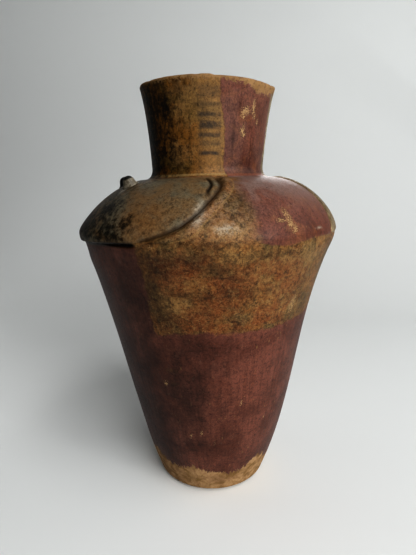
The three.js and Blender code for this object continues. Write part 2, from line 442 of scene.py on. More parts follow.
    def rings(self) -> Rows:
        """Lists every ring, up the outside, over the lip, down inside and in to the floor.

        Returns:
            The rings.
        """
        outer = self.profile(0.0)
        inner = self.profile(self.wall)
        flat = self.foot_radius - self.foot_edge_width
        edge = (self.foot_edge_width, self.foot_edge_height)
        rounding = (self.lip_rounding, self.lip_rounding)
        lip_centre = self.lip_height - self.lip_rounding
        corner_top = self.floor + self.floor_corner
        wall = bezier(inner["body"], np.linspace(0, 1, self.wall_samples))
        corner_radius = float(np.interp(corner_top, wall[:, 1], wall[:, 0]))
        inside = Side.INSIDE
        count = self.ring_counts
        body = self.stretch(inner["body"], count["inner body"], 0.0, inside, back=True)
        above = body.height > corner_top + self.corner_gap
        body = Rows(*(getattr(body, name)[above] for name in Rows.__dataclass_fields__))
        climbed = (("body", 0.0), ("keel", 0.0), ("shoulder", None), ("fillet", 1.0), ("neck", 1.0))
        descended = (("neck", 1.0), ("fillet", 1.0), ("shoulder", None))
        floor_radius = corner_radius - self.floor_corner
        return Rows.join([
            self.arc((0.0, 0.0), (flat, 0.0), (84.0, 20.0), count["underside"]),
            self.arc((flat, self.foot_edge_height), edge, (-90.0, -8.0), count["foot"]),
            *(self.stretch(outer[name], count[name], share) for name, share in climbed),
            self.arc((self.lip_radius - self.lip_rounding, lip_centre), rounding,
                     (0.0, 90.0), count["lip"], 1.0),
            self.arc((self.lip_radius - self.wall + self.lip_rounding, lip_centre), rounding,
                     (90.0, 180.0), count["lip"], 1.0, inside),
            *(self.stretch(inner[name], count["inner " + name], share, inside, back=True)
              for name, share in descended),
            body,
            self.arc((floor_radius, corner_top), (self.floor_corner, self.floor_corner),
                     (0.0, -90.0), count["inner corner"], 0.0, inside),
            self.arc((0.0, self.floor), (floor_radius, 0.0), (30.0, 84.0),
                     count["inner floor"], 0.0, inside),
        ])

    def lobe_edge(self, rows: Rows) -> np.ndarray:
        """Gives the turn of the head's edge on each ring.

        Args:
            rows: the rings.

        Returns:
            One turn per ring.
        """
        carved = through(self.lobe_edges, rows.share)
        plain = np.where(rows.share >= 1.0, self.lobe_edges[-1], self.mouth_half_angle)
        return np.where(rows.relief > 0, carved, plain)

    def panel_edge(self, rows: Rows) -> np.ndarray:
        """Gives the turn of the panel's edge on each ring."""
        return 180.0 - through(self.panel_edges, rows.share)

    def squareness(self, rows: Rows, edge: np.ndarray) -> np.ndarray:
        """Gives the cosine of an edge's slant away from the profile's own direction.

        Args:
            rows: the rings.
            edge: the edge's turn on each of them.

        Returns:
            One cosine per ring.
        """
        along = np.hypot(*(np.diff(part, append=0.0) for part in (rows.radius, rows.height)))
        across = np.diff(edge, append=0.0) * np.radians(1.0) * rows.radius
        return np.where(rows.relief > 0, along / np.maximum(np.hypot(along, across), 1e-6), 1.0)

    def turns(self, rows: Rows) -> np.ndarray:
        """Works out where each ring's columns stand, as angles from the head's middle plane.

        They gather at even steps beside the head's edge and the panel's edge, so each carved
        line keeps its width, and spread evenly between. The other half mirrors them.

        Args:
            rows: the rings.

        Returns:
            One row of angles, from -180 up to just under 180, per ring.
        """
        def beside(seam: tuple[float, float], edge: np.ndarray) -> np.ndarray:
            """Steps evenly across an edge, from the seam's first distance to its last.

            Args:
                seam: the two distances.
                edge: the edge's turn on each ring.

            Returns:
                One row of angles per ring.
            """
            square = np.maximum(self.squareness(rows, edge), self.least_square)
            offsets = np.arange(seam[0], seam[1] + self.seam_step / 2, self.seam_step)
            room = np.maximum(rows.radius, self.foot_radius) * np.radians(1.0) * square
            return edge[:, None] + offsets / room[:, None]

        def spread(start: np.ndarray, end: np.ndarray, count: int) -> np.ndarray:
            """Steps evenly from one angle to another, without the last."""
            steps = np.arange(count) / count
            return start[:, None] + (end - start)[:, None] * steps

        head = beside(self.head_seam, self.lobe_edge(rows))
        panel = beside(self.panel_seam, self.panel_edge(rows))
        zero = np.zeros(len(rows.radius))
        half = np.hstack([
            spread(zero, head[:, 0], self.lobe_columns),
            head[:, :-1],
            spread(head[:, -1], panel[:, 0], self.flank_columns),
            panel[:, :-1],
            spread(panel[:, -1], zero + 180.0, self.panel_columns),
        ])
        return np.hstack([zero[:, None] - 180.0, -half[:, :0:-1], half])

    def mouth_line(self, turn: np.ndarray) -> np.ndarray:
        """Gives the height of the mouth's middle line, which climbs to its two corners."""
        return self.mouth_height + self.mouth_corner_rise * ease(turn / self.mouth_half_angle)

    def relief(self, rows: Rows, turn: np.ndarray) -> tuple[np.ndarray, np.ndarray, np.ndarray]:
        """Works out how far carved and raised work stands out of the plain form.

        A carved line is -depth times a bell of the distance across it, and a ridge is +height
        times one. The mouth is a parabolic slit between an upper lip that swells and a lower
        lip that is drawn in.

        Args:
            rows: the rings.
            turn: each vertex's turn.

        Returns:
            The height of the relief, how deep each vertex lies in the painted shade of a carved line or
            the mouth's slit, and how far outside the head's edge.
        """
        arc = (np.maximum(rows.radius, 1.0) * np.radians(1.0))[:, None]
        lobe = self.lobe_edge(rows)
        panel = self.panel_edge(rows)
        to_head = (turn - lobe[:, None]) * arc * self.squareness(rows, lobe)[:, None]
        to_panel = (turn - panel[:, None]) * arc * self.squareness(rows, panel)[:, None]
        hook_share = ease((rows.share - self.hook_shares[0])
                          / (self.hook_shares[1] - self.hook_shares[0]))[:, None]
        groove = bell(to_head / self.groove_width)
        hook = bell((to_head + self.hook_offset * hook_share) / self.hook_width) * hook_share
        lines = (
            self.ridge_height * bell((to_head - self.ridge_offset) / self.ridge_width)
            - self.groove_depth * groove
            - self.hook_depth * hook
            + self.panel_height * ease(0.5 + to_panel / self.panel_edge_width / 2)
            - self.panel_groove_depth * bell(to_panel / self.panel_edge_width)
        )
        height = rows.height[:, None]
        over = height - self.mouth_line(turn)
        in_mouth = ease((self.mouth_half_angle - turn) / self.mouth_end_angle + 0.5)
        in_head = ease((self.mouth_half_angle - turn) / self.lip_end_angle)
        above = ease(over / self.mouth_width + 0.5)
        opening = np.maximum(1 - (2 * over / self.mouth_width) ** 2, 0.0)
        slit = in_mouth * opening
        reach = bell((height - self.shoulder_height) / self.lobe_swell_reach)
        swell = in_head * self.lobe_swell * above * reach
        recess = in_head * self.lower_lip_recess * (1 - above) * ease(1 + over / self.lower_lip_drop)
        body = ((rows.share < 0.5) & (rows.side == Side.OUTSIDE.value))[:, None]
        mouth_relief = swell - np.maximum(slit * self.mouth_depth, recess)
        lift = lines * rows.relief[:, None] + mouth_relief * body
        # Painted shade: dark where the groove, the hook and the mouth's slit lie in shade.
        carved = np.maximum(groove * self.groove_shade, hook * self.hook_shade) * rows.relief[:, None]
        mouth = bell(over / self.mouth_shade_width) * in_mouth * body
        return lift, np.maximum(carved, mouth), to_head

    def neck_share(self, rows: Rows) -> np.ndarray:
        """Gives how far up the neck each ring is, from 0 to 1."""
        climb = rows.height - self.neck_height
        return np.clip(climb / (self.lip_height - self.neck_height), 0, 1)

    def tilt(self, rows: Rows) -> np.ndarray:
        """Gives how far the tail side stands over the mean height.

        Args:
            rows: the rings.

        Returns:
            One height per ring.
        """
        neck = self.neck_tilt * (1 - self.neck_share(rows))
        shoulder = self.neck_tilt + self.shoulder_tilt * np.sin(np.pi * rows.share**self.tilt_bend)
        body = self.neck_tilt * np.clip((rows.height - self.tilt_start)
                                        / (self.shoulder_height - self.tilt_start), 0, 1)
        return np.where(rows.share >= 1, neck, np.where(rows.share > 0, shoulder, body))

    def lip_change(self, azimuth: np.ndarray) -> np.ndarray:
        """Gives how far the lip lies off its full height.

        It dips by 1 - |sin azimuth|^evenness at front and back, and is worn on the front's right.

        Args:
            azimuth: each vertex's azimuth.

        Returns:
            The change of height, below 0.
        """
        sine = np.sin(np.radians(azimuth))
        evenness = np.where(np.cos(np.radians(azimuth)) > 0, *self.dip_evenness)
        dip = self.lip_dip * (1 - np.abs(sine) ** evenness)
        start, end = self.lip_wear_azimuths
        least = self.lip_wear_least
        along = (azimuth - start) / (end - start)
        grown = least + (1 - least) * np.clip(along * self.lip_wear_growth, 0, 1)
        worn = ease((azimuth - start) / self.lip_wear_onset)
        worn = worn * ease((end - azimuth) / self.lip_wear_run_out)
        return -dip - self.lip_wear * worn * grown

    def unevenness(self, azimuth: np.ndarray, height: np.ndarray) -> np.ndarray:
        """Sums seeded waves round and up the jar into a hand-built unevenness.

        Args:
            azimuth: where it is wanted.
            height: where it is wanted.

        Returns:
            The unevenness from 0 to 1.
        """
        rng = np.random.default_rng(self.hand_seed)
        total = np.zeros_like(azimuth)
        for _ in range(self.hand_waves):
            around = rng.integers(*self.hand_waves_around)
            up = rng.uniform(-self.hand_climb, self.hand_climb)
            total += np.sin(np.radians(around * azimuth) + up * height + rng.uniform(0, 2 * math.pi))
        return 0.5 + 0.5 * np.tanh(total / math.sqrt(self.hand_waves))

    def surface(self) -> Surface:
        """Works out every vertex of the vessel.

        A vertex stands at the ring's radius and height, moved along the profile's outward
        direction by the relief less the hand's unevenness, tilted, and shifted by the lean.

        Returns:
            The arrays of the surface.
        """
        rows = self.rings()
        angle = self.turns(rows)
        azimuth = turned(self.head_azimuth + angle)
        turn = np.abs(angle)
        outside = (rows.side == Side.OUTSIDE.value)[:, None]
        out, up = (part[:, None] for part in rows.slopes())
        height = np.broadcast_to(rows.height[:, None], angle.shape)
        lift, ink, beside = self.relief(rows, turn)
        plain = (rows.height > 2 * self.foot_edge_height)[:, None] & outside
        lift = (lift - self.hand_depth * self.unevenness(azimuth, height) * plain) * outside
        below, length = self.nick_reach
        near_lip = ease((rows.height - self.lip_height + below) / length)[:, None]
        around, up_lip = self.nick_fineness
        nicks = np.maximum(self.unevenness(azimuth * around, height * up_lip) - self.nick_limit, 0)
        lift = lift - self.nick_depth * nicks * near_lip * outside
        radius = rows.radius[:, None] + lift * out
        lip_share = (self.neck_share(rows) * (rows.share >= 1))[:, None]
        z = (height + lift * up - self.tilt(rows)[:, None] * np.cos(np.radians(angle))
             + self.lip_change(azimuth) * lip_share)
        low, high = self.lean_heights
        shift = -self.lean * ease((rows.height - low) / (high - low))[:, None]
        x = radius * np.sin(np.radians(azimuth)) + shift
        y = -radius * np.cos(np.radians(azimuth))
        wide = np.broadcast_to(rows.radius[:, None], angle.shape)
        share = np.broadcast_to(rows.share[:, None], angle.shape)
        points = np.stack([x, y, z], -1)
        return Surface(points, azimuth, turn, wide, height, share, ink, beside, rows)


@dataclass(frozen=True)
class Patches:
    """Stains, wear, painted highlights or painted shade of one kind, and like ones on the side turned away.

    A mark is its azimuth, its height, half its width and half its height.
    """

    name: str
    seed: int
    marks: tuple[tuple[float, float, float, float], ...]
    far_count: int = 9
    far_azimuths: tuple[float, float] = (80.0, 275.0)
    far_shift: float = 6.0

    def nearness(self, surface: Surface) -> np.ndarray:
        """Works out how near each vertex is to the marks.

        A mark gives 1 at its middle, 0 at its edge and less outside, as 1 minus the length of
        (distance across / half width, distance up / half height).

        Args:
            surface: the vessel's arrays.

        Returns:
            The highest value of any mark, at least -1.
        """
        rng = np.random.default_rng(self.seed)
        marks = list(self.marks)
        for _ in range(self.far_count):
            like = self.marks[rng.integers(len(self.marks))]
            azimuth = rng.uniform(*self.far_azimuths)
            marks.append((azimuth, like[1] + rng.uniform(-self.far_shift, self.far_shift), *like[2:]))
        value = np.full(surface.azimuth.shape, -1.0)
        for azimuth, height, half_width, half_height in marks:
            across = turned(surface.azimuth - azimuth) * np.radians(1.0) * surface.radius / half_width
            up = (surface.height - height) / half_height
            value = np.maximum(value, 1.0 - np.hypot(across, up))
        return value


@dataclass(frozen=True)
class Bar:
    """A painted bar on the neck: its height, half its thickness and how dark it still is."""

    height: float
    half: float
    tone: float


@dataclass(frozen=True)
class PaintPlan:
    """Where the slips, paint, wear and stains lie on the jar, and where highlights and shade are painted.

    Borders are lists of (height, turn) or of (turn or azimuth, height), in the order their
    names say.
    """

    lower_red_turn: float = 48.5
    lower_red_tops: Curve = (
        (50, 126.5), (52, 127.5), (66, 130.3), (105, 130.3), (116, 131.7), (132, 133.2), (160, 135.5)
    )
    upper_red_starts: Curve = (
        (181, 94), (185, 91), (191, 89), (196, 90.5), (201, 90.5), (211, 87.5), (216, 87),
        (218.5, 92), (220, 93), (225, 89.5), (235, 90.5), (244, 90), (253, 89), (260, 87),
        (265, 85), (274, 84.5),
    )
    neck_panel_starts: Curve = ((219, 141), (225, 143), (243, 147), (255, 145), (264, 144), (278, 142))
    upper_red_lows: Curve = ((92, 185.5), (98, 182.8), (106, 182), (113, 183.3), (120, 184.8), (140, 184.4))
    ladder_turns: tuple[float, float] = (67.5, 86.0)
    bars: tuple[Bar, ...] = (
        Bar(233.8, 1.0, 0.8), Bar(239.3, 1.0, 0.5), Bar(244.4, 1.1, 0.7), Bar(250.2, 1.9, 0.8),
        Bar(256.0, 1.2, 0.75), Bar(261.6, 1.1, 0.45), Bar(268.4, 3.2, 0.4),
    )
    foot_tops: Curve = (
        (-180, 15), (-140, 22), (-90, 19), (-66, 24), (-55, 29), (-49, 24), (-40, 21.8),
        (-29, 19.5), (-15.5, 24.4), (-4, 20.8), (7, 19.3), (21, 16.7), (30, 21.8), (35, 24.4),
        (42, 27), (49, 25), (56, 18), (90, 16), (140, 20), (180, 15),
    )
    lip_bottoms: Curve = (
        (-180, 275.5), (-90, 276.4), (-30, 276), (5, 275.6), (12, 275.2), (25, 275), (32, 274),
        (38, 272.4), (46, 270.8), (60, 271), (75, 273), (100, 274.8), (140, 275.5), (180, 275.5),
    )
    patches: tuple[Patches, ...] = (
        Patches("chip", 3, (
            (32.5, 194, 1.8, 3.6), (32, 198, 1.4, 2.4), (28.5, 195, 2.0, 0.9), (34, 190.5, 1.6, 2.0),
            (34, 259.5, 2.6, 2), (31.5, 257.5, 1.5, 2.4), (42, 262, 1.1, 3.4), (44, 257, 1.0, 1.2),
            (32, 247.6, 1.4, 2.8), (33.5, 245.4, 1.4, 1.4), (49, 253.8, 0.8, 1.6),
            (43.5, 143, 2.4, 3.4), (44.5, 147, 1.8, 1.4), (18.5, 78.8, 0.7, 0.7),
            (37.5, 62.3, 0.5, 0.8), (-14.5, 52.1, 0.7, 1.4), (-7, 56, 0.6, 1.5), (2, 48, 0.5, 1.2),
            (-26, 92, 1.2, 0.8), (-20.5, 182.6, 0.8, 0.8),
        )),
        Patches("soot", 4, (
            (-64, 192, 24, 12), (-42, 190, 8, 6), (-36, 187.5, 5, 3.5), (-52, 202, 12, 6),
            (-33, 195, 4, 4), (-64, 248, 18, 44), (-40, 262, 7, 9),
        )),
        Patches("stain", 9, (
            (15, 206, 7, 9), (19, 213, 5, 5), (-24, 175, 8, 8), (4, 171, 11, 4), (-4, 178, 14, 4),
            (-8, 153, 16, 3), (-22, 160, 6, 22), (22, 177, 14, 1.6), (0, 184, 14, 3),
            (13, 164, 6, 2.5), (14, 156, 10, 3), (-31, 252.5, 6, 2.4), (-40, 243, 5, 2),
            (-36, 262, 5, 2.5), (-30, 236, 5, 2), (-5, 200, 6, 5),
        )),
        # A whitish film with painted highlights on it: on the shoulder's front and along the ridge by the
        # groove.
        Patches("bloom", 10, (
            (6.5, 192, 5.0, 2.3), (-3.2, 201.2, 2.6, 5.0), (-4.4, 197, 1.8, 3), (49, 189.2, 3, 0.6),
            (-56, 213.5, 2.4, 1.4),
        )),
        Patches("rust", 5, (
            (-9.5, 172, 16, 6), (-3.5, 139, 9, 6), (31, 168, 18, 7), (10, 160, 16, 9),
            (36, 156, 12, 10), (6, 150, 15, 8), (-14, 163, 9, 8), (0, 134, 22, 4), (28, 140, 12, 7),
        )),
        # Paler tan slip; the mark at azimuth 8, height 191 also lightens the tan under the painted
        # highlight on the shoulder's front.
        Patches("pale", 6, (
            (9, 178, 12, 5), (8, 191, 12, 4), (-26, 197, 14, 11), (-12, 148, 8, 7), (28, 171, 20, 6),
            (44, 170, 14, 12), (20, 168, 13, 8), (-14, 160, 7, 5), (34, 143, 16, 5), (-10, 179, 8, 3),
            (-21, 102, 4, 1.3), (-12, 97.5, 6, 1.0), (-21, 92, 3, 1.3), (36, 158, 11, 13),
            (-22, 262, 6, 9), (-12, 268, 8, 5), (-26, 234, 7, 6),
        )),
        # Darker slip, mostly on the head's side, deepened into painted shade on the side turned from the
        # lights.
        Patches("dusky", 8, (
            (-16, 82, 17, 36), (-72, 120, 62, 95), (-50, 60, 26, 60), (-33, 152, 18, 34),
            (-22, 136, 13, 8), (5, 13, 10, 5), (-20, 172, 16, 7),
        )),
    )
    bars_span: float = 300.0
    bar_blur: float = 0.7
    bar_sharp: float = 0.3
    # A painted highlight line along the ridge's outer foot: how far outside the head's edge, and half its
    # width.
    highlight_line_offset: float = 7.5
    highlight_line_half: float = 0.45
    fade_start: float = 4.0
    fade_reach: float = 40.0

    def layers(self, form: JarForm, surface: Surface) -> dict[str, np.ndarray]:
        """Works out the masks of the paint, as distances in millimetres that are over 0 inside.

        Args:
            form: the jar's shape.
            surface: the vessel's arrays.

        Returns:
            One array of values by the name that the materials read.
        """
        turn, height, rows = surface.turn, surface.height, surface.rows
        arc = surface.radius * np.radians(1.0)
        body_border = (self.lower_red_turn - turn) * arc
        low = np.maximum(border(self.lower_red_tops, turn) - height, body_border)
        lower_red = np.minimum(low, form.mouth_line(turn) - height)
        panel = form.panel_edge(rows)[:, None]
        panel = np.where(surface.share >= 1.0, border(self.neck_panel_starts, height), panel)
        to_panel = (turn - panel) * arc
        starts = (turn - border(self.upper_red_starts, height)) * arc
        upper_red = np.minimum(np.minimum(starts, -to_panel), height - border(self.upper_red_lows, turn))
        lobe = np.minimum(-surface.beside, height - form.mouth_line(turn))
        lobe = np.where(surface.share >= 1.0, NOWHERE, lobe)
        first, last = self.ladder_turns
        ladder = np.minimum(turn - first, last - turn) * arc
        cream = np.where(height > form.shoulder_height, to_panel, height - form.shoulder_height)
        on_shoulder = (surface.share > 0) & (surface.share < 1)
        steps = (np.diff(part, prepend=0.0) for part in (rows.radius, rows.height))
        along = np.cumsum(np.hypot(*steps))
        neck_foot = along[np.argmax((rows.share >= 1) & (rows.side == Side.OUTSIDE.value))]
        fade = np.where(on_shoulder, starts - self.fade_start, self.fade_reach)
        # A painted highlight line beside the ridge, on the shoulder only.
        rim = self.highlight_line_half - np.abs(surface.beside - self.highlight_line_offset)
        return {
            "lower_red": lower_red,
            "upper_red": upper_red,
            "lobe": lobe,
            "cream": np.minimum(cream, to_panel),
            "ladder": ladder,
            "ground": (turn - first) * arc,
            "foot_wear": border(self.foot_tops, surface.azimuth) - height,
            "lip_wear": height - border(self.lip_bottoms, surface.azimuth),
            "ink": surface.ink,
            "rim": np.where(on_shoulder, rim, NOWHERE),
            "fade": fade,
            "join": np.broadcast_to((along - neck_foot)[:, None], turn.shape),
            **{patches.name: patches.nearness(surface) for patches in self.patches},
        }


class Bench:
    """Lays and wires nodes in one node tree."""

    def __init__(self, tree: bpy.types.NodeTree) -> None:
        """Keeps the tree that nodes are laid in."""
        self.tree = tree

    def node(self, kind: str, values: dict[Any, Any] | None = None, **settings: Any) -> bpy.types.Node:
        """Adds a node.

        Args:
            kind: the node's type.
            values: what each input takes, a socket to wire or a value to set.
            settings: the node's own properties.

        Returns:
            The node.
        """
        node = self.tree.nodes.new(kind)
        for name, value in settings.items():
            setattr(node, name, value)
        for name, value in (values or {}).items():
            if isinstance(value, Socket):
                self.tree.links.new(value, node.inputs[name])
            else:
                node.inputs[name].default_value = value
        return node

    def use(self, group: bpy.types.NodeTree, **values: Any) -> Socket:
        """Places a node group of one output, with a value for each of its inputs."""
        return self.node("ShaderNodeGroup", values, node_tree=group).outputs[0]

    def attribute(self, name: str, output: str = "Fac") -> Socket:
        """Reads a value that the mesh carries."""
        return self.node("ShaderNodeAttribute", attribute_name=name).outputs[output]

    def math(self, operation: str, *values: Any) -> Socket:
        """Adds a Math node on up to three values."""
        return self.node("ShaderNodeMath", dict(enumerate(values)), operation=operation).outputs[0]

    def times(self, first: Any, second: Any) -> Socket:
        """Multiplies two values."""
        return self.math("MULTIPLY", first, second)

    def blend(self, share: Any, under: Any, over: Any, kind: str = "MIX") -> Socket:
        """Lays one colour over another by a share."""
        values = {0: share, 6: under, 7: over}
        return self.node("ShaderNodeMix", values, data_type="RGBA", blend_type=kind).outputs[2]

    def mix(self, share: Any, under: Any, over: Any) -> Socket:
        """Goes from one value to another by a share."""
        return self.node("ShaderNodeMix", {0: share, 2: under, 3: over}).outputs[0]

    def step(self, value: Any, low: Any, high: Any, out_low: float = 0.0, out_high: float = 1.0) -> Socket:
        """Goes softly from out_low to out_high as the value climbs from low to high."""
        values = {"Value": value, "From Min": low, "From Max": high, "To Min": out_low, "To Max": out_high}
        return self.node("ShaderNodeMapRange", values, interpolation_type="SMOOTHSTEP").outputs[0]

    def scaled(self, place: Any, factors: tuple[float, float, float]) -> Socket:
        """Stretches a place along its axes."""
        return self.node("ShaderNodeMapping", {"Vector": place, "Scale": factors}).outputs[0]

    def noise(
        self, place: Any, scale: Any, detail: float = 4.0, roughness: float = 0.55,
        stretch: tuple[float, float, float] | None = None, distortion: Any = 0.0,
    ) -> Socket:
        """Adds a noise around 0.5.

        Args:
            place: where it is read.
            scale: its waves per millimetre.
            detail: how many finer layers it has.
            roughness: how strong they are.
            stretch: the place's factors along its axes, or None.
            distortion: how much it swirls.

        Returns:
            The noise's value.
        """
        values = {
            "Vector": self.scaled(place, stretch) if stretch else place, "Scale": scale,
            "Detail": detail, "Roughness": roughness, "Distortion": distortion,
        }
        return self.node("ShaderNodeTexNoise", values).outputs[0]


class Effects:
    """The effects that several finishes use, each a node group built once."""

    def __init__(self) -> None:
        """Builds the groups, whose inputs are named with their default values."""
        self.border = self.group("border", "Mask", self.lay_border, {
            "Place": None, "Distance": 0.0, "Raggedness": 1.0, "Scale": 0.4, "Softness": 0.4,
        })
        self.mottle = self.group("mottle", "Mask", self.lay_mottle, {
            "Place": None, "Scale": 0.05, "Low": 0.4, "High": 0.6, "Swirl": 0.6,
        })
        self.specks = self.group("specks", "Mask", self.lay_specks, {
            "Place": None, "Scale": 0.6, "Size": 0.3, "Amount": 0.2,
        })
        self.strokes = self.group("strokes", "Value", self.lay_strokes, {"Wrap": None, "Scale": 0.5})
        self.surface = self.group("clay_surface", "Height", self.lay_surface, {
            "Place": None, "Grit": 0.05, "Pits": 0.1,
        })

    @staticmethod
    def group(
        name: str, output: str, lay: Callable[[Bench, Any], Socket], inputs: dict[str, float | None],
    ) -> bpy.types.NodeTree:
        """Makes a node group of one output.

        Args:
            name: its name.
            output: its output's name.
            lay: lays its nodes, from a bench and the inputs by name, and returns what it puts out.
            inputs: its inputs' default values, None for a vector.

        Returns:
            The group.
        """
        tree = bpy.data.node_groups.new(name, "ShaderNodeTree")
        for label, value in inputs.items():
            kind = "NodeSocketVector" if value is None else "NodeSocketFloat"
            socket = tree.interface.new_socket(label, in_out="INPUT", socket_type=kind)
            if value is not None:
                socket.default_value = value
        tree.interface.new_socket(output, in_out="OUTPUT", socket_type="NodeSocketFloat")
        bench = Bench(tree)
        made = lay(bench, bench.node("NodeGroupInput").outputs)
        bench.node("NodeGroupOutput", {output: made})
        return tree

    def lay_border(self, bench: Bench, given: Any) -> Socket:
        """Lays a painted border: 1 where the distance, roughened by noise, is over 0.

        Args:
            bench: the group's bench.
            given: the group's inputs by name.

        Returns:
            The mask.
        """
        noise = bench.noise(given["Place"], given["Scale"], 6.0, 0.68)
        swing = bench.times(bench.math("SUBTRACT", noise, 0.5), given["Raggedness"])
        moved = bench.math("MULTIPLY_ADD", swing, NOISE_REACH, given["Distance"])
        return bench.step(moved, bench.times(given["Softness"], -1.0), given["Softness"])

    def lay_mottle(self, bench: Bench, given: Any) -> Socket:
        """Lays cloudy blotches: noise on noise, lifted between two limits."""
        noise = bench.noise(given["Place"], given["Scale"], 7.0, 0.62, None, given["Swirl"])
        return bench.step(noise, given["Low"], given["High"])

    def lay_specks(self, bench: Bench, given: Any) -> Socket:
        """Lays scattered specks: the middles of those cells whose random number is low.

        Args:
            bench: the group's bench.
            given: the group's inputs by name.

        Returns:
            The mask.
        """
        values = {"Vector": given["Place"], "Scale": given["Scale"], "Randomness": 1.0}
        cells = bench.node("ShaderNodeTexVoronoi", values).outputs
        lot = bench.node("ShaderNodeSeparateColor", {0: cells["Color"]}).outputs[0]
        size = bench.times(given["Size"], bench.math("ADD", lot, 0.5))
        near = bench.step(cells["Distance"], size, bench.times(size, 0.5))
        return bench.times(near, bench.math("LESS_THAN", lot, given["Amount"]))

    def lay_strokes(self, bench: Bench, given: Any) -> Socket:
        """Lays burnishing strokes: noise drawn out up the wall, around 0.5."""
        return bench.noise(given["Wrap"], given["Scale"], 3.0, 0.5, (1.0, 1.0, 0.07))

    def lay_surface(self, bench: Bench, given: Any) -> Socket:
        """Lays the clay's fine height: grit and pits.

        Args:
            bench: the group's bench.
            given: the group's inputs by name.

        Returns:
            The height in millimetres.
        """
        grit = bench.times(bench.noise(given["Place"], 1.6, 5.0, 0.7), given["Grit"])
        pits = bench.use(self.specks, Place=given["Place"], Scale=0.5, Size=0.28, Amount=0.3)
        return bench.math("SUBTRACT", grit, bench.times(pits, given["Pits"]))


class ClayBench(Bench):
    """Lays the nodes of a clay finish, with the readings that its coats share."""

    def __init__(self, tree: bpy.types.NodeTree, effects: Effects) -> None:
        """Keeps the tree and the shared groups, and reads the place in millimetres.

        Args:
            tree: the material's nodes.
            effects: the shared node groups.
        """
        super().__init__(tree)
        self.effects = effects
        metres = self.node("ShaderNodeTexCoord").outputs["Object"]
        self.place = self.scaled(metres, (1.0 / MM, 1.0 / MM, 1.0 / MM))
        self.upright = self.scaled(self.place, (1.0, 1.0, 0.3))
        self.fine = self.noise(self.place, 0.9, 6.0, 0.7)
        self.grain = self.noise(self.place, 0.42, 8.0, 0.78, None, 0.4)

    def cloud(self, scale: float, low: float, high: float, swirl: float = 0.6) -> Socket:
        """Makes cloudy blotches."""
        group = self.effects.mottle
        return self.use(group, Place=self.place, Scale=scale, Low=low, High=high, Swirl=swirl)

    def dots(self, scale: float, size: float, amount: float, place: Any = None) -> Socket:
        """Makes scattered specks."""
        group = self.effects.specks
        return self.use(group, Place=place or self.place, Scale=scale, Size=size, Amount=amount)

    def grit(self, grains: float, pits: float) -> Socket:
        """Makes the clay's fine height from the heights of its grains and pits in millimetres."""
        return self.use(self.effects.surface, Place=self.place, Grit=grains, Pits=pits)

    def grains(self, low: float, high: float) -> Socket:
        """Makes fine grains where the shared noise goes from low to high."""
        return self.step(self.grain, low, high)

    def band(self, value: Any, middle: float, half: float) -> Socket:
        """Makes a soft band where the value is near the middle."""
        apart = self.math("ABSOLUTE", self.math("SUBTRACT", value, middle))
        return self.step(apart, half * 1.5, half * 0.5)

    def edge(
        self, distance: Any, ragged: float, scale: float, soft: float, place: Any = None,
    ) -> Socket:
        """Makes a painted area.

        Args:
            distance: how far inside the area, or the name of the attribute that says so.
            ragged: how far its border wanders.
            scale: how finely it wanders.
            soft: half the width over which it fades.
            place: where the wandering is read, or None for the place on the jar.

        Returns:
            The area's mask.
        """
        inside = self.attribute(distance) if isinstance(distance, str) else distance
        return self.use(self.effects.border, Place=place or self.place, Distance=inside,
                        Raggedness=ragged, Scale=scale, Softness=soft)

    def tones(self, mask: Any, first: str, second: str) -> Socket:
        """Goes from one colour to another where the mask is."""
        return self.blend(mask, linear(first), linear(second))

    def coats(self, colour: Any, *coats: tuple[Any, Any, str]) -> Socket:
        """Lays coats over a colour, one on another.

        Args:
            colour: the colour underneath.
            coats: the mask of each coat, how thick it is from 0 to 1, and its colour.

        Returns:
            The colour that is seen.
        """
        for mask, thickness, over in coats:
            colour = self.blend(self.times(mask, thickness), colour, linear(over))
        return colour

    def finish(self, shader: bpy.types.Node, colour: Any, roughness: Any, height: Any) -> None:
        """Wires a finish to the shader.

        Args:
            shader: the material's shader.
            colour: its colour.
            roughness: its roughness.
            height: its fine relief in millimetres.
        """
        values = {"Strength": 1.0, "Distance": 1.0, "Height": self.times(height, MM)}
        bump = self.node("ShaderNodeBump", values).outputs[0]
        for name, value in (("Base Color", colour), ("Roughness", roughness), ("Normal", bump)):
            self.tree.links.new(value, shader.inputs[name])


def blank_material(name: str, effects: Effects) -> tuple[bpy.types.Material, ClayBench, bpy.types.Node]:
    """Makes a material to be finished.

    Args:
        name: its name.
        effects: the shared node groups.

    Returns:
        The material, a bench for its tree, and its shader.
    """
    material = bpy.data.materials.new(name)
    material.use_nodes = True
    tree = material.node_tree
    return material, ClayBench(tree, effects), tree.nodes["Principled BSDF"]


